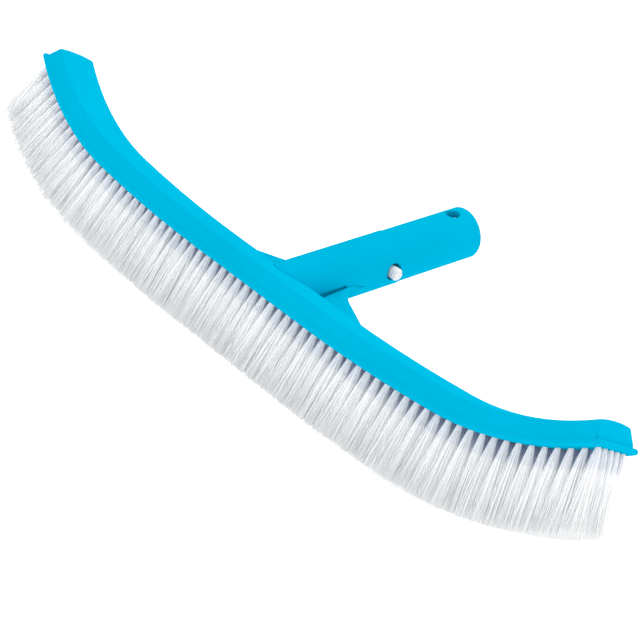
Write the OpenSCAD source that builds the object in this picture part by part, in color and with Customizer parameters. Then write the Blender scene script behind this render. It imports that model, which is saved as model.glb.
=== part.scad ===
// Curved pool wall brush with a handle that snaps into a pole. Millimetres and degrees.
// It stands on its bristles at z = 0, long way along X, with the handle leaning towards +Y.
// The origin is under the middle of its box. Shapes are drawn about the middle of the flat
// bristle side of the back, and in_place() then moves them.

/* [Back] */

// Length of the straight middle, each side of the centre
flat_half = 43; // [40:1:50]
// Turn of the gentle curve that follows it
ease_turn = 5.4; // [5:0.1:6]
// Radius of the gentle curve, at the bristle side
ease_r = 970; // [900:10:1000]
// Radius of the end curve, at the bristle side
end_r = 172; // [168:2:200]
// Height of the back, at the middle of its crown
back_h = 12.8; // [12:0.2:14]
// Width of the back where it meets the bead
back_w = 30; // [29:0.2:31]
// Width of the back across its top edges
back_top_w = 26; // [24:0.2:27]
// How much the top rises between its edges
crown = 1.2; // [0.8:0.1:1.6]
// Height of the rounded bead round the bristle side
bead_h = 3; // [2.8:0.1:3.4]
// How far the bead stands out from the back
bead_out = 1.5; // [1.4:0.1:1.8]
// Distance from the last tufts to the start of the rounded end
end_margin = 1.8; // [1.8:0.1:4]

/* [Bristles] */

// Tufts along each row
tufts = 68; // [60:2:68]
// Spacing of the tufts along a row
tuft_pitch = 6.6; // [6.5:0.05:6.6]
// Spacing of the rows
row_pitch = 5; // [4.9:0.05:5.4]
// Length of the bristles below the back
bristle_len = 37; // [28:0.5:42]
// Tuft diameter in its hole
root_d = 2.9; // [2.7:0.1:2.9]
// Tuft diameter where it leaves its hole
neck_d = 3.2; // [3.2:0.1:3.3]
// Tuft diameter at its trimmed end
tip_d = 4.5; // [4:0.1:4.6]
// Hole diameter
hole_d = 3.6; // [3.6:0.05:3.8]
// Hole depth
hole_depth = 8; // [6:0.25:8.5]
// How much straighter than the curve the end tufts stand, as a share of the curve
fan_back = 0.55; // [0.4:0.05:0.6]

/* [Handle] */

// Lean of the handle away from square to the back
lean = 60; // [58:0.5:62]
// Distance from the bristle side to the open end, along the handle
handle_len = 129; // [125:1:145]
// How far behind the middle of the bristle side the line of the handle meets it
handle_back = 6; // [4:0.5:8]
// Handle diameter inside the pole
spigot_d = 28; // [27.6:0.1:28.4]
// Bore of the handle
bore_d = 19.6; // [19.6:0.1:21]
// Cross hole near the open end
pin_hole_d = 8; // [6:0.5:9]
// Distance from the open end to the cross hole
pin_hole_in = 10.5; // [9:0.5:14]
// Reach of the side webs from the middle of the handle
web_reach = 52; // [46:1:56]
// Thickness of the side webs
web_t = 3; // [2.5:0.5:4]
// Height of the tips of the webs above the bristle side
web_tip = 6.8; // [6.5:0.1:8]

/* [Clip] */

// Distance from the open end to the clip buttons
button_in = 62; // [60:0.5:63]
// Button diameter
button_d = 6.6; // [6:0.1:6.8]
// Diameter of the hole that each button stands in
button_hole_d = 9.4; // [9.4:0.1:9.6]
// How far each button stands out of the handle
button_out = 4.1; // [3.5:0.1:4.4]

/* [Hidden] */

$fn = 48;

blue = [0.00, 0.71, 0.89];
white = [0.96, 0.96, 0.97];
bristle_white = [0.93, 0.93, 0.95];
brass = [0.80, 0.66, 0.36];

// The curve of the bristle side: straight, then two arcs that meet it and each other smoothly.
last_tuft = (tufts - 1) / 2 * tuft_pitch;
end_s = last_tuft + end_margin;
ease_end = flat_half + ease_r * ease_turn * PI / 180;
end_turn = ease_turn + (end_s - ease_end) / end_r * 180 / PI;
end_cx = flat_half + (ease_r - end_r) * sin(ease_turn);
end_cz = ease_r - (ease_r - end_r) * cos(ease_turn);

bead_r = bead_h / 2;
bead_y = back_w / 2 + bead_out - bead_r;
edge_r = 1.8;
edge_y = back_top_w / 2 - edge_r;
edge_end = 80;
crown_steps = 5;
rows = 5;
foot_r = 2;
foot_y = back_w / 2 - 0.3;
foot_turn = acos((foot_y + foot_r - bead_y) / (bead_r + foot_r));
foot_c = [foot_y + foot_r, bead_r + (bead_r + foot_r) * sin(foot_turn)];
cap_root = 0.8;
cap_inset = 0.03;
zone = round(tufts / 3);

spigot_r = spigot_d / 2;
bore_r = bore_d / 2;
bore_end = 31;
button_at = handle_len - button_in;
hole_shift = 0.3;
shoulder_at = button_at + 7;
shoulder = 0.35;
end_round = 1;
tube_end_r = spigot_r - end_round * 0.6;
web_top = 0.5;
web_slope = 0.215;
web_fillet = 10;
seam_from = 16;
seam_to = 35;
seam_w = 2.4;
seam_deep = 2.2;

arm_t = 2.4;
arm_w = 7;
arm_x = bore_r - 1.5 - arm_t / 2;
pivot_at = 38;
pivot_x = 4.4;
pivot_r = arm_t / 2;
socket_r = pivot_r + 0.3;
arm_len = norm([arm_x - pivot_x, button_at - pivot_at]);
arm_splay = atan((arm_x - pivot_x) / (button_at - pivot_at));

tube_end_y = handle_back + handle_len * sin(lean) + tube_end_r * cos(lean);
middle_y = (tube_end_y - bead_y - bead_r) / 2;

// Moves a finished piece so that the brush stands on z = 0.
module in_place()
    translate([0, -middle_y, bristle_len])
        children();

function turn(s) =
    s <= flat_half ? 0
    : s <= ease_end ? (s - flat_half) / ease_r * 180 / PI
    : ease_turn + (s - ease_end) / end_r * 180 / PI;

function curve_x(s) =
    s <= flat_half ? s
    : s <= ease_end ? flat_half + ease_r * sin(turn(s))
    : end_cx + end_r * sin(turn(s));

function curve_z(s) =
    s <= flat_half ? 0
    : s <= ease_end ? ease_r * (1 - cos(turn(s)))
    : end_cz - end_r * cos(turn(s));

// Moves to a point of the curve, turned to its own angle or to the one given.
module on_curve(s, angle) {
    side = s < 0 ? -1 : 1;
    far = abs(s);
    translate([side * curve_x(far), 0, curve_z(far)])
        rotate([0, -side * angle, 0])
            children();
}

function arc(c, r, from, to, steps) = [
    for (i = [0:steps])
        c + r * [cos(from + (to - from) * i / steps), sin(from + (to - from) * i / steps)]
];

function crown_z(y) = back_h - crown * pow(2 * y / back_top_w, 2);

// Makes an outline from the points of its right half, given from the bottom up.
module both_halves(half) {
    last = len(half) - 1;
    polygon(concat(half, [for (i = [last:-1:0]) if (half[i].x > 0) [-half[i].x, half[i].y]]));
}

body_half = concat(
    arc([edge_y, crown_z(edge_y) - edge_r], edge_r, 0, edge_end, 4),
    [for (i = [crown_steps - 1:-1:0]) [edge_y * i / crown_steps, crown_z(edge_y * i / crown_steps)]]
);
bead_half = arc([bead_y, bead_r], bead_r, -90, 90, 8);
back_half = concat(
    arc([bead_y, bead_r], bead_r, -90, foot_turn, 7),
    arc(foot_c, foot_r, 180 + foot_turn * 0.75, 180, 3),
    body_half
);

// Section across the back without its bead: x is across, y is up.
module body_section()
    both_halves(concat([[foot_y, 1], [foot_y, foot_c.y]], body_half));

module bead_section()
    both_halves(bead_half);

module back_section()
    both_halves(back_half);

// A move in two steps, so that a rounded number can't part two arcs that meet.
module move_finely(v) {
    coarse = [for (n = v) round(n * 1000) / 1000];
    translate(coarse)
        translate(v - coarse)
            children();
}

// Carries a section along an arc whose centre stands above the brush.
module along_arc(cx, cz, radius, from, to)
    move_finely([cx, 0, cz])
        rotate([90, 0, 0])
            rotate_extrude(angle = to - from, start = from - 90, $fn = 240)
                translate([radius, 0])
                    rotate(90)
                        children();

module along_curve() {
    rotate([90, 0, 90])
        translate([0, 0, -flat_half])
            linear_extrude(2 * flat_half)
                children();
    for (side = [0, 1])
        mirror([side, 0, 0]) {
            along_arc(flat_half, ease_r, ease_r, 0, ease_turn)
                children();
            along_arc(end_cx, end_cz, end_r, ease_turn, end_turn)
                children();
        }
}

// A rounded end for a convex section, reaching out along X: straight, then round.
module end_cap(straight, radius)
    rotate([90, 0, 90])
        hull() {
            translate([0, 0, -cap_root])
                linear_extrude(cap_root + straight)
                    offset(delta = -cap_inset)
                        children();
            for (a = [30, 60, 90])
                translate([0, 0, straight + radius * sin(a) - 0.01])
                    linear_extrude(0.01)
                        offset(delta = -cap_inset - radius * (1 - cos(a)))
                            children();
        }

function row_y(row) = (row - (rows + 1) / 2) * row_pitch;
function tuft_s(i) = (i - (tufts - 1) / 2) * tuft_pitch;

// How far tuft i leans outwards.
function tuft_lean(i) =
    let (s = abs(tuft_s(i)))
    turn(s) * (1 - fan_back * pow(s / last_tuft, 4));

// Puts a shape at the mouth of hole i of a row, square to the bristle side.
module at_hole(i, row)
    translate([0, row_y(row), 0])
        on_curve(tuft_s(i), turn(abs(tuft_s(i))))
            children();

// Puts a shape at the mouth of hole i of a row, on the line of its bristles.
module at_tuft(i, row)
    translate([0, row_y(row), 0])
        on_curve(tuft_s(i), tuft_lean(i))
            children();

module brush_back() {
    color(blue)
        in_place() difference() {
            union() {
                along_curve()
                    back_section();
                for (side = [0, 1])
                    mirror([side, 0, 0])
                        on_curve(end_s, end_turn) {
                            end_cap(0.01, end_round)
                                body_section();
                            end_cap(end_round + bead_out - bead_r * 0.8, bead_r * 0.8)
                                bead_section();
                        }
            }
            for (row = [1:rows])
                for (i = [0:tufts - 1])
                    at_hole(i, row)
                        translate([0, 0, -3])
                            cylinder(d = hole_d, h = hole_depth + 3, $fn = 24);
        }
}

// Tufts first to last of one row. Each narrows from its trimmed end to its hole.
module tuft_row(row, first, last) {
    color(bristle_white)
        in_place() for (i = [first:last]) {
            at_hole(i, row)
                translate([0, 0, -0.4])
                    cylinder(d = root_d, h = hole_depth - 0.8, $fn = 24);
            at_tuft(i, row)
                translate([0, 0, -bristle_len])
                    cylinder(d1 = tip_d, d2 = neck_d, h = bristle_len, $fn = 24);
        }
}

// The flat wire that holds each tuft at the bottom of its hole.
module anchor_row(row) {
    color(brass)
        in_place() for (i = [0:tufts - 1])
            at_hole(i, row)
                translate([0, 0, hole_depth - 0.65])
                    cube([2.8, 1.4, 0.8], center = true);
}

// Turns a shape that stands on Z, with its up side towards -Y, to the line of the handle.
module on_handle()
    translate([0, handle_back, 0])
        rotate([-lean, 0, 0])
            children();

// The webs seen from the front: x is across the handle, y is up.
module web_front() {
    slant = atan(web_slope);
    corner_x = spigot_r + web_fillet;
    corner = [
        corner_x,
        web_tip + web_slope * (web_reach - corner_x) + web_fillet / cos(slant),
    ];
    both_halves(concat(
        [[web_reach, 0], [web_reach, web_tip]],
        arc(corner, web_fillet, -90 - slant, -180, 6),
        [[spigot_r - 3, corner.y]]
    ));
}

// What the handle and its webs leave free: the back, and all below its bead.
module seat() {
    rotate([90, 0, 90])
        translate([0, 0, -80])
            linear_extrude(160)
                back_section();
    translate([-80, -40, bead_h - 60])
        cube([160, 120, 60]);
}

// A narrow groove beside the handle, which runs out along the web.
module web_seam(side)
    on_handle()
        mirror([side < 0 ? 1 : 0, 0, 0])
            translate([0, seam_deep - web_top, 0])
                rotate([90, 0, 0])
                    linear_extrude(seam_deep + 1)
                        polygon([
                            [spigot_r - 0.6, seam_to],
                            [spigot_r - 0.6, seam_from],
                            [spigot_r + seam_w, seam_from],
                            [spigot_r + 0.4, seam_to],
                        ]);

module handle() {
    color(blue)
        in_place() difference() {
            on_handle() {
                cylinder(r = spigot_r + shoulder, h = shoulder_at);
                cylinder(r = spigot_r, h = handle_len - end_round);
                translate([0, 0, handle_len - end_round])
                    cylinder(r1 = spigot_r, r2 = tube_end_r, h = end_round);
            }
            seat();
            for (side = [-1, 1])
                web_seam(side);
            on_handle() {
                translate([0, 0, bore_end])
                    cylinder(r = bore_r, h = handle_len);
                translate([0, 0, button_at + hole_shift])
                    rotate([0, 90, 0])
                        cylinder(d = button_hole_d, h = spigot_d + 4, center = true);
                translate([0, 0, handle_len - pin_hole_in])
                    rotate([90, 0, 0])
                        cylinder(d = pin_hole_d, h = spigot_d + 4, center = true);
            }
        }
}

// A thin plate beside the handle, cut to the outline of the webs. side is 1 or -1.
module web(side) {
    color(blue)
        in_place() difference() {
            intersection() {
                on_handle()
                    translate([side > 0 ? 0 : -web_reach - 1, -web_top, 0])
                        cube([web_reach + 1, web_t, 60]);
                translate([0, 80, 0])
                    rotate([90, 0, 0])
                        linear_extrude(100)
                            web_front();
            }
            seat();
            web_seam(side);
            on_handle()
                cylinder(r = spigot_r + shoulder, h = shoulder_at);
        }
}

// The spring end of the clip, which joins its two arms.
module clip_bow() {
    ring = pivot_x + pivot_r;
    color(white)
        in_place() on_handle()
            difference() {
                translate([0, arm_w / 2, pivot_at - socket_r + 0.2])
                    rotate([90, 0, 0])
                        difference() {
                            cylinder(r = ring, h = arm_w);
                            translate([0, 0, -1])
                                cylinder(r = ring - arm_t, h = arm_w + 2);
                            translate([-ring - 1, 0, -1])
                                cube([2 * ring + 2, ring + 1, arm_w + 2]);
                        }
                for (side = [-1, 1])
                    translate([side * pivot_x, 0, pivot_at])
                        rotate([90, 0, 0])
                            cylinder(r = socket_r, h = arm_w + 2, center = true);
            }
}

// One arm of the clip with its button. side is 1 towards +X, -1 towards -X.
module clip_arm(side) {
    past = 4.5;
    button_len = spigot_r + button_out - arm_x;
    color(white)
        in_place() on_handle()
            mirror([side < 0 ? 1 : 0, 0, 0]) {
                translate([pivot_x, 0, pivot_at])
                    rotate([0, arm_splay, 0]) {
                        rotate([90, 0, 0])
                            cylinder(r = pivot_r, h = arm_w, center = true);
                        translate([-arm_t / 2, -arm_w / 2, 0])
                            cube([arm_t, arm_w, arm_len + past]);
                    }
                translate([arm_x, 0, button_at])
                    rotate([0, 90, 0]) {
                        cylinder(d = button_d, h = button_len - 1.2);
                        translate([0, 0, button_len - 1.2])
                            cylinder(d1 = button_d, d2 = button_d - 2, h = 1.2);
                    }
            }
}

brush_back();
handle();
web(-1);  // web_left
web(1);  // web_right
clip_bow();
clip_arm(-1);  // clip_arm_left
clip_arm(1);  // clip_arm_right
for (row = [1:rows]) {
    tuft_row(row, 0, zone - 1);
    tuft_row(row, zone, 2 * zone - 1);
    tuft_row(row, 2 * zone, tufts - 1);
    anchor_row(row);
}
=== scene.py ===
"""A curved pool wall brush on a pale floor in soft studio light.

The back, handle, webs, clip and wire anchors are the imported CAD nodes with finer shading. Each
tuft is rebuilt as a bundle of nylon filaments on the line of its CAD tuft.
Lengths are in metres.
"""
import math

import bpy
import numpy as np
from mathutils import Matrix, Vector


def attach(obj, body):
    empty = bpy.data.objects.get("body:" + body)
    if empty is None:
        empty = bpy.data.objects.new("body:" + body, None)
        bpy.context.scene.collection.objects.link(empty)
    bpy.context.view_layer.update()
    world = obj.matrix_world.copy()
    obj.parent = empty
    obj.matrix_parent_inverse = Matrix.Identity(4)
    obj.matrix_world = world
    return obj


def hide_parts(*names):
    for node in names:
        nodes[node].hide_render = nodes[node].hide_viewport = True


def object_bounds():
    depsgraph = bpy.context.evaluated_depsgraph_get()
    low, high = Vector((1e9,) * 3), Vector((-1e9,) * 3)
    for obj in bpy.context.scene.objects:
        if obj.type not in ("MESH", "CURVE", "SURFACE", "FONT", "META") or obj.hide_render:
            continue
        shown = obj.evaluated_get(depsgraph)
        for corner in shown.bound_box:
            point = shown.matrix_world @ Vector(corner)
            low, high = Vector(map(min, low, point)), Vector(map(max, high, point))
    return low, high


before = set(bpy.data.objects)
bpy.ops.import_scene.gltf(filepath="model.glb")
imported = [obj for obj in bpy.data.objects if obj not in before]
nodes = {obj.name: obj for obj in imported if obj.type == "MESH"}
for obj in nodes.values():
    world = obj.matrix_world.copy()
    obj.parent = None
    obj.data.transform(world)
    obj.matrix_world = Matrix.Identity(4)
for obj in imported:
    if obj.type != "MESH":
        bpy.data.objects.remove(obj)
cad_low, cad_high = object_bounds()
MM = 0.001


# ---------------------------------------------------------------- shader nodes

def new_material(name, **inputs):
    """A material with only a Principled shader on its output.

    inputs are values for the shader's sockets, with _ for each space in a socket's name.
    """
    mat = bpy.data.materials.new(name)
    mat.use_nodes = True
    tree = mat.node_tree
    tree.nodes.clear()
    out = tree.nodes.new("ShaderNodeOutputMaterial")
    shader = tree.nodes.new("ShaderNodeBsdfPrincipled")
    tree.links.new(shader.outputs["BSDF"], out.inputs["Surface"])
    for socket, value in inputs.items():
        shader.inputs[socket.replace("_", " ")].default_value = value
    return mat, tree, shader


def noise(tree, scale, detail=2.0, roughness=0.5, stretch=(1, 1, 1)):
    """Noise over the object's own coordinates, so it stays with the piece as it moves."""
    place = tree.nodes.new("ShaderNodeTexCoord")
    mapping = tree.nodes.new("ShaderNodeMapping")
    mapping.inputs["Scale"].default_value = stretch
    tex = tree.nodes.new("ShaderNodeTexNoise")
    tex.inputs["Scale"].default_value = scale
    tex.inputs["Detail"].default_value = detail
    tex.inputs["Roughness"].default_value = roughness
    tree.links.new(place.outputs["Object"], mapping.inputs["Vector"])
    tree.links.new(mapping.outputs["Vector"], tex.inputs["Vector"])
    return tex.outputs["Fac"]


def attribute(tree, name):
    """The value of one of a mesh's own attributes."""
    node = tree.nodes.new("ShaderNodeAttribute")
    node.attribute_name = name
    return node.outputs["Fac"]


NOISE_LOW, NOISE_HIGH = 0.3, 0.7  # what nearly all of a noise texture lies between


def ramp(tree, value, stops):
    """A colour ramp: stops are (position, colour)."""
    node = tree.nodes.new("ShaderNodeValToRGB")
    ends = node.color_ramp.elements
    while len(ends) < len(stops):
        ends.new(0.5)
    for element, (position, colour) in zip(ends, stops):
        element.position = position
        element.color = (*colour, 1)
    tree.links.new(value, node.inputs["Fac"])
    return node.outputs["Color"]


def two_tones(tree, value, first, second):
    """Noise turned into a colour between two."""
    return ramp(tree, value, [(NOISE_LOW, first), (NOISE_HIGH, second)])


def span(tree, value, low, high, start=NOISE_LOW, end=NOISE_HIGH):
    """value from start to end becomes low to high."""
    node = tree.nodes.new("ShaderNodeMapRange")
    node.inputs["From Min"].default_value = start
    node.inputs["From Max"].default_value = end
    node.inputs["To Min"].default_value = low
    node.inputs["To Max"].default_value = high
    tree.links.new(value, node.inputs["Value"])
    return node.outputs["Result"]


def bump(tree, height, distance, strength=1.0, normal=None):
    """The normal of a surface raised by height x distance, over another normal if given."""
    node = tree.nodes.new("ShaderNodeBump")
    node.inputs["Distance"].default_value = distance
    node.inputs["Strength"].default_value = strength
    tree.links.new(height, node.inputs["Height"])
    if normal is not None:
        tree.links.new(normal, node.inputs["Normal"])
    return node.outputs["Normal"]


def soft_edges(tree, radius):
    """A normal that is rounded near each edge."""
    node = tree.nodes.new("ShaderNodeBevel")
    node.samples = 6
    node.inputs["Radius"].default_value = radius
    return node.outputs["Normal"]


# ---------------------------------------------------------------- materials

BLUE = (0.0, 0.335, 0.52), (0.0, 0.36, 0.555)
CLIP_WHITE = (0.58, 0.59, 0.62), (0.64, 0.65, 0.68)
BRASS = (0.55, 0.38, 0.14), (0.66, 0.48, 0.20)
FLOOR_GREY = (0.70, 0.70, 0.70), (0.72, 0.72, 0.72)
# Over the attribute filament, random from 0 to 1: most are between the last two whites.
FILAMENT_WHITES = [
    (0.0, (0.88, 0.885, 0.90)),
    (0.2, (0.955, 0.96, 0.965)),
    (1.0, (0.985, 0.985, 0.985)),
]
# Painted shade over a filament's length, read from its painted light attribute: a blue-grey
# painted shadow at the root of an inner tuft, white further down, and a slight painted grey
# towards the tip.
PAINTED_SHADE_ROOT_TO_TIP = [
    (0.0, (0.53, 0.61, 0.82)),
    (0.28, (1.0, 1.0, 1.0)),
    (1.0, (0.93, 0.935, 0.935)),
]
# A painted glow on each bristle, standing in for the light that reaches it through its
# neighbours; full from this painted light level on.
PAINTED_GLOW_COLOUR = (0.96, 0.985, 1.0, 1)
PAINTED_GLOW = 0.13
PAINTED_GLOW_FROM = 0.3
SHOWS_THROUGH = 0.5


def moulded_blue():
    """Satin moulded polypropylene: fine even texture, faint flow clouds, rounded edges."""
    mat, tree, shader = new_material(
        "moulded_blue",
        IOR=1.49,
        Specular_IOR_Level=0.0,
        Subsurface_Weight=0.08,
        Subsurface_Radius=(0.05, 0.8, 1.0),
        Subsurface_Scale=1.5 * MM,
    )
    clouds = noise(tree, 18, 3, 0.55, (0.5, 1, 1))
    tree.links.new(two_tones(tree, clouds, *BLUE), shader.inputs["Base Color"])
    tree.links.new(span(tree, noise(tree, 240, 3), 0.34, 0.46), shader.inputs["Roughness"])
    grain = bump(tree, noise(tree, 2600), 0.02 * MM, 0.5, soft_edges(tree, 0.6 * MM))
    flow = bump(tree, noise(tree, 60), 0.06 * MM, 0.6, grain)
    tree.links.new(flow, shader.inputs["Normal"])
    return mat


def clip_nylon():
    """Smooth white nylon with a soft edge to each face."""
    mat, tree, shader = new_material(
        "clip_nylon",
        Subsurface_Weight=0.2,
        Subsurface_Radius=(1.0, 1.0, 0.9),
        Subsurface_Scale=1.5 * MM,
    )
    tree.links.new(two_tones(tree, noise(tree, 90, 3), *CLIP_WHITE), shader.inputs["Base Color"])
    tree.links.new(span(tree, noise(tree, 700), 0.26, 0.36), shader.inputs["Roughness"])
    grain = bump(tree, noise(tree, 1800), 0.01 * MM, 0.4, soft_edges(tree, 0.35 * MM))
    tree.links.new(grain, shader.inputs["Normal"])
    return mat


def anchor_brass():
    """Drawn flat wire: fine scratches along it."""
    mat, tree, shader = new_material("anchor_brass", Metallic=1.0)
    tree.links.new(two_tones(tree, noise(tree, 400, 3), *BRASS), shader.inputs["Base Color"])
    drawn = noise(tree, 900, 2, 0.6, (0.1, 1, 1))
    tree.links.new(span(tree, drawn, 0.25, 0.42), shader.inputs["Roughness"])
    tree.links.new(bump(tree, drawn, 0.02 * MM, 0.5), shader.inputs["Normal"])
    return mat


def bristle_nylon():
    """White nylon filament that lets some light through, no two quite the same white, with
    painted shade near its root and a painted glow along it.
    """
    mat, tree, shader = new_material("bristle_nylon", Emission_Color=PAINTED_GLOW_COLOUR)
    painted_light_level = attribute(tree, "painted_light_level")
    shade = tree.nodes.new("ShaderNodeMixRGB")
    shade.blend_type = "MULTIPLY"
    shade.inputs["Fac"].default_value = 1.0
    filament_white = ramp(tree, attribute(tree, "filament"), FILAMENT_WHITES)
    tree.links.new(filament_white, shade.inputs["Color1"])
    # painted shade: blue-grey at an inner tuft's root, slightly grey at the tip
    tree.links.new(ramp(tree, painted_light_level, PAINTED_SHADE_ROOT_TO_TIP), shade.inputs["Color2"])
    colour = shade.outputs["Color"]
    tree.links.new(colour, shader.inputs["Base Color"])
    streaks = noise(tree, 900, stretch=(1, 1, 0.1))
    tree.links.new(span(tree, streaks, 0.30, 0.45), shader.inputs["Roughness"])
    tree.links.new(bump(tree, streaks, 0.02 * MM, 0.3), shader.inputs["Normal"])
    # painted glow: emission in place of light through the neighbouring bristles, growing from
    # the root
    glow = span(tree, painted_light_level, 0.0, PAINTED_GLOW, 0.0, PAINTED_GLOW_FROM)
    tree.links.new(glow, shader.inputs["Emission Strength"])
    through = tree.nodes.new("ShaderNodeBsdfTranslucent")
    tree.links.new(colour, through.inputs["Color"])
    both = tree.nodes.new("ShaderNodeMixShader")
    both.inputs["Fac"].default_value = SHOWS_THROUGH
    tree.links.new(shader.outputs["BSDF"], both.inputs[1])
    tree.links.new(through.outputs["BSDF"], both.inputs[2])
    out = tree.get_output_node("ALL")
    tree.links.new(both.outputs["Shader"], out.inputs["Surface"])
    return mat


def pale_floor():
    """A matt floor with a glow of its own, so that it is as white as the sky behind it."""
    mat, tree, shader = new_material(
        "pale_floor",
        Roughness=0.9,
        Emission_Color=(1, 1, 1, 1),
        Emission_Strength=0.6,
    )
    tree.links.new(two_tones(tree, noise(tree, 3), *FLOOR_GREY), shader.inputs["Base Color"])
    return mat


# ---------------------------------------------------------------- the moulded pieces

SAME_POINT = 1e-6
MOULDED_CREASE = 34  # degrees; a sharper edge than this is not smoothed over
SMALL_CREASE = 30


def finish_node(name, material, crease):
    """Gives a CAD node its material, and smooth shading up to the crease angle."""
    node = nodes[name]
    mesh = node.data
    mesh.materials.clear()
    mesh.materials.append(material)
    if "custom_normal" in mesh.attributes:
        mesh.attributes.remove(mesh.attributes["custom_normal"])
    mesh.polygons.foreach_set("use_smooth", np.ones(len(mesh.polygons), bool))
    weld = node.modifiers.new("weld", "WELD")
    weld.merge_threshold = SAME_POINT
    split = node.modifiers.new("creases", "EDGE_SPLIT")
    split.split_angle = math.radians(crease)
    split.use_edge_sharp = False
    even = node.modifiers.new("even", "WEIGHTED_NORMAL")
    even.keep_sharp = True


blue = moulded_blue()
white = clip_nylon()
brass = anchor_brass()
for name in nodes:
    if name.startswith("anchors"):
        finish_node(name, brass, SMALL_CREASE)
for name in ("brush_back", "handle", "web_left", "web_right"):
    finish_node(name, blue, MOULDED_CREASE)
for name in ("clip_bow", "clip_arm_left", "clip_arm_right"):
    finish_node(name, white, SMALL_CREASE)


# ---------------------------------------------------------------- bristles

# How a CAD tuft is read. Its rings of points are far apart only between hole and rim.
ROOT_GAP = 4 * MM
RIM_DEPTH = 0.7 * MM
TIP_DEPTH = 0.3 * MM

# Towards both ends of the brush the photo's bristles are longer, and their tips stand
# further to the left. Both changes grow with this power of the distance from the middle.
END_X = cad_high.x
END_POWER = 3
END_GROWTH = 0.07
END_LEAN = 3 * MM

# A filament is a square tube, with a ring of points at its root and one at each level. A
# level is a share of its length past the rim.
RADIUS = 0.18 * MM
RADIUS_RANGE = (0.9, 1.1)
SIDES = 4
LEVELS = (0.0, 0.08, 0.22, 0.5, 1.0)
RINGS = 1 + len(LEVELS)

# A bundle: its filaments stand in a sunflower pattern, and spread towards their tips.
FILAMENTS = 64
GOLDEN = math.pi * (3 - math.sqrt(5))
ROOT_SPREAD = 1.15 * MM
TIP_SPREAD = 5.2 * MM
SPREAD_RANGE = (0.88, 1.12)
SPREAD_POWER = 0.85  # below 1, so it opens most near its root

# How irregular a bundle is. The first four are standard deviations.
CLUMP = 0.55 * MM  # of where all the tips of a tuft stand
SCATTER = 0.5 * MM  # of where one tip stands
BOW = 0.28 * MM  # of how far a filament bends at half its length
LENGTH_NOISE = 0.004  # of the length, as a share of it
STRAY_SHARE = 0.05  # of the filaments, whose tips scatter STRAY_GAIN times as far
STRAY_GAIN = 2.2
SHORT_SHARE = 0.03  # of the filaments, which are shorter by up to SHORT_BY
SHORT_BY = 1.2 * MM

# Bristles on the outside of the brush get less painted root shade and more painted glow, so they
# stay light down to their roots.
OUTER_ROWS = ("tufts_row1", "tufts_row5")
OUTER_END = 0.93
OUTER_PAINTED_LIGHT_LEVEL = 0.25

FIRST_SEED = 100


def separate_solids(mesh):
    """The corner points of each solid in a node's mesh, whose vertices may repeat."""
    co = np.empty(len(mesh.vertices) * 3, np.float32)
    mesh.vertices.foreach_get("co", co)
    co = np.round(co.reshape(-1, 3).astype(float), 6)
    points, place = np.unique(co, axis=0, return_inverse=True)
    ends = np.empty(len(mesh.edges) * 2, np.int32)
    mesh.edges.foreach_get("vertices", ends)
    a, b = place.reshape(-1)[ends.reshape(-1, 2)].T
    label = np.arange(len(points))
    while True:
        low = np.minimum(label[a], label[b])
        was = label.copy()
        np.minimum.at(label, a, low)
        np.minimum.at(label, b, low)
        label = label[label]
        if (label == was).all():
            break
    return [points[label == k] for k in np.unique(label)]


def tuft_line(points):
    """Where a CAD tuft starts in its hole, leaves the back, and ends."""
    middle = points.mean(0)
    along = np.linalg.svd(points - middle, full_matrices=False)[2][0]
    if along[2] > 0:
        along = -along
    t = (points - middle) @ along
    order = np.argsort(t)
    in_hole = np.argmax(np.diff(t[order]) > ROOT_GAP) + 1
    root = points[order[:in_hole]].mean(0)
    free, depth = points[order[in_hole:]], t[order[in_hole:]]
    rim = free[depth < depth[0] + RIM_DEPTH].mean(0)
    tip = free[depth > depth[-1] - TIP_DEPTH].mean(0)
    towards_end = (abs(rim[0]) / END_X) ** END_POWER
    tip = rim + (tip - rim) * (1 + END_GROWTH * towards_end) - [END_LEAN * towards_end, 0, 0]
    return root, rim, tip


def filaments(root, rim, tip, trim, rng):
    """Rings of points for the filaments of one tuft: (filament, ring, side, xyz).

    trim is the direction along the brush in which the tufts are cut level.
    """
    length = np.linalg.norm(tip - rim)
    along = (tip - rim) / length
    across = np.cross([0.0, 1.0, 0.0], along)
    across /= np.linalg.norm(across)
    aside = np.cross(along, across)
    section = np.stack([across, aside])

    k = np.arange(FILAMENTS)
    share = np.sqrt((k + 0.5) / FILAMENTS)
    turn = k * GOLDEN + rng.uniform(0, 2 * math.pi)
    disc = share[:, None] * np.stack([np.cos(turn), np.sin(turn)], 1)
    start = disc * ROOT_SPREAD
    spread = TIP_SPREAD * rng.uniform(*SPREAD_RANGE)
    clump = rng.normal(0, CLUMP, 2)
    stray = np.where(rng.random(FILAMENTS) < STRAY_SHARE, STRAY_GAIN, 1.0)[:, None]
    end = disc * spread + clump + rng.normal(0, SCATTER, (FILAMENTS, 2)) * stray
    bow = rng.normal(0, BOW, (FILAMENTS, 2))

    slope = (trim @ along) / (trim @ across)
    reach = length * (1 + rng.normal(0, LENGTH_NOISE, FILAMENTS))
    short = rng.random(FILAMENTS) < SHORT_SHARE
    reach -= np.where(short, rng.uniform(0, SHORT_BY, FILAMENTS), 0)
    reach += end[:, 0] * slope

    rings = [np.broadcast_to(root, (FILAMENTS, 3)) + start @ section]
    for level in LEVELS:
        off = start + (end - start) * level**SPREAD_POWER + bow * math.sin(math.pi * level)
        rings.append(rim + off @ section + (reach * level)[:, None] * along)
    centres = np.stack(rings, 1)
    angles = np.arange(SIDES) * 2 * math.pi / SIDES + math.pi / 4
    ring = np.cos(angles)[:, None] * across + np.sin(angles)[:, None] * aside
    thick = RADIUS * rng.uniform(*RADIUS_RANGE, FILAMENTS)
    return centres[:, :, None, :] + thick[:, None, None, None] * ring


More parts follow.
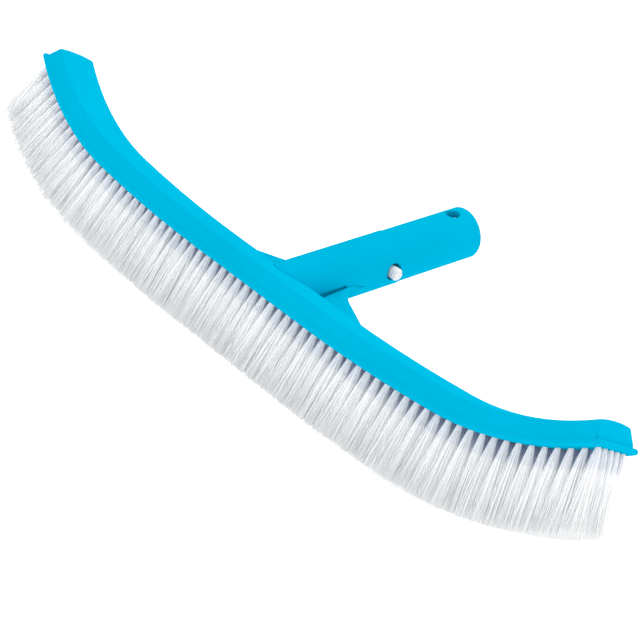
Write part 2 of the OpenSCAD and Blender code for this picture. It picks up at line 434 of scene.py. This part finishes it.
def bundle_faces(count):
    """Quads round each filament, with a cap at both ends."""
    here = np.arange(SIDES)
    after = (here + 1) % SIDES
    quads = []
    for ring in range(RINGS - 1):
        low, high = ring * SIDES, (ring + 1) * SIDES
        quads.append(np.stack([low + here, low + after, high + after, high + here], 1))
    quads.append(here[::-1][None, :])
    quads.append((RINGS - 1) * SIDES + here[None, :])
    one = np.concatenate(quads)
    first = np.arange(count) * RINGS * SIDES
    return (one[None] + first[:, None, None]).reshape(-1, SIDES)


def point_attribute(mesh, name, values):
    """Stores one number for each vertex, for a material to read."""
    data = mesh.attributes.new(name, "FLOAT", "POINT").data
    data.foreach_set("value", values.astype(np.float32))


def bristle_piece(node_name, material, seed):
    """Replaces a CAD node of tufts with the filaments of all its tufts, as one mesh."""
    rng = np.random.default_rng(seed)
    tufts = [tuft_line(p) for p in separate_solids(nodes[node_name].data)]
    trims = np.gradient([tip for _, _, tip in tufts], axis=0)
    shapes = np.concatenate([filaments(*t, trim, rng) for t, trim in zip(tufts, trims)])
    outer_row = node_name.startswith(OUTER_ROWS)
    outside = [outer_row or abs(rim[0]) > OUTER_END * END_X for _, rim, _ in tufts]
    count = len(shapes)
    faces = bundle_faces(count)

    name = node_name.replace("tufts", "bristles")
    mesh = bpy.data.meshes.new(name)
    mesh.vertices.add(shapes.size // 3)
    mesh.vertices.foreach_set("co", shapes.astype(np.float32).ravel())
    mesh.loops.add(faces.size)
    mesh.loops.foreach_set("vertex_index", faces.astype(np.int32).ravel())
    mesh.polygons.add(len(faces))
    mesh.polygons.foreach_set("loop_start", np.arange(0, faces.size, SIDES, dtype=np.int32))
    mesh.update(calc_edges=True)
    mesh.polygons.foreach_set("use_smooth", np.ones(len(faces), bool))

    point_attribute(mesh, "filament", np.repeat(rng.random(count), RINGS * SIDES))
    level = np.tile(np.repeat((0.0, *LEVELS), SIDES), count)
    # outer tufts never drop below a set painted light level, so their roots get less painted
    # shade
    least = np.where(outside, OUTER_PAINTED_LIGHT_LEVEL, 0.0)
    least = np.repeat(least, FILAMENTS * RINGS * SIDES)
    point_attribute(mesh, "painted_light_level", np.maximum(level, least))

    mesh.materials.append(material)
    piece = bpy.data.objects.new(name, mesh)
    bpy.context.scene.collection.objects.link(piece)
    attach(piece, "brush")
    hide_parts(node_name)


nylon = bristle_nylon()
tuft_nodes = sorted(n for n in nodes if n.startswith("tufts"))
for i, node_name in enumerate(tuft_nodes):
    bristle_piece(node_name, nylon, FIRST_SEED + i)


# ---------------------------------------------------------------- floor, light and camera

def backdrop():
    """A pale floor that curves up into a wall far behind, so that no horizon shows."""
    width, front, back_edge, bend, top = 30.0, -12.0, 9.0, 5.0, 16.0
    line = [(front, 0.0), (back_edge, 0.0)]
    line += [
        (back_edge + bend * math.sin(a), bend - bend * math.cos(a))
        for a in np.radians(np.linspace(6, 90, 15))
    ]
    line.append((back_edge + bend, top))
    verts = [(x, y, z) for y, z in line for x in (-width, width)]
    faces = [(2 * i, 2 * i + 1, 2 * i + 3, 2 * i + 2) for i in range(len(line) - 1)]
    mesh = bpy.data.meshes.new("studio_floor")
    mesh.from_pydata(verts, [], faces)
    mesh.polygons.foreach_set("use_smooth", np.ones(len(faces), bool))
    mesh.materials.append(pale_floor())
    piece = bpy.data.objects.new("studio_floor", mesh)
    bpy.context.scene.collection.objects.link(piece)
    clear = 0.1 * MM
    piece.location = (0, 0, cad_low.z - clear)


def softbox(name, place, aim, size, power):
    """An area light at place that faces aim. size is width and height, power is in watts."""
    light = bpy.data.lights.new(name, "AREA")
    light.shape = "RECTANGLE"
    light.size, light.size_y = size
    light.energy = power
    box = bpy.data.objects.new(name, light)
    bpy.context.scene.collection.objects.link(box)
    box.location = place
    box.rotation_euler = (Vector(aim) - Vector(place)).to_track_quat("-Z", "Y").to_euler()


def camera(aim, azimuth, elevation, roll, distance, lens):
    """Azimuth 0 looks along +Y and grows as the camera goes round towards +X."""
    a, e = math.radians(azimuth), math.radians(elevation)
    back = Vector((math.sin(a) * math.cos(e), -math.cos(a) * math.cos(e), math.sin(e)))
    data = bpy.data.cameras.new("camera")
    data.lens = lens
    data.sensor_width = 36
    data.clip_start, data.clip_end = 0.01, 100
    cam = bpy.data.objects.new("camera", data)
    bpy.context.scene.collection.objects.link(cam)
    look = (-back).to_track_quat("-Z", "Y").to_matrix().to_4x4()
    cam.matrix_world = (
        Matrix.Translation(Vector(aim) + back * distance)
        @ look
        @ Matrix.Rotation(math.radians(roll), 4, "Z")
    )
    bpy.context.scene.camera = cam


backdrop()
middle = (cad_low + cad_high) / 2
softbox("key", place=(-0.9, -1.1, 1.5), aim=middle, size=(1.6, 1.2), power=7)
softbox("fill", place=(1.5, -0.7, 0.5), aim=middle, size=(1.4, 1.0), power=4)
softbox("top", place=(0.1, 0.5, 1.7), aim=middle, size=(1.8, 1.2), power=13)

world = bpy.data.worlds.new("studio")
bpy.context.scene.world = world
world.use_nodes = True
sky = world.node_tree.nodes["Background"].inputs
sky["Color"].default_value = (1.0, 1.0, 1.0, 1)
sky["Strength"].default_value = 1.0

camera(
    aim=(middle.x - 0.65 * MM, middle.y - 6.0 * MM, cad_low.z + 30.8 * MM),
    azimuth=40.095,
    elevation=9.618,
    roll=28.43,
    distance=0.9742,
    lens=106.12,
)
bpy.context.scene.view_settings.view_transform = "Standard"
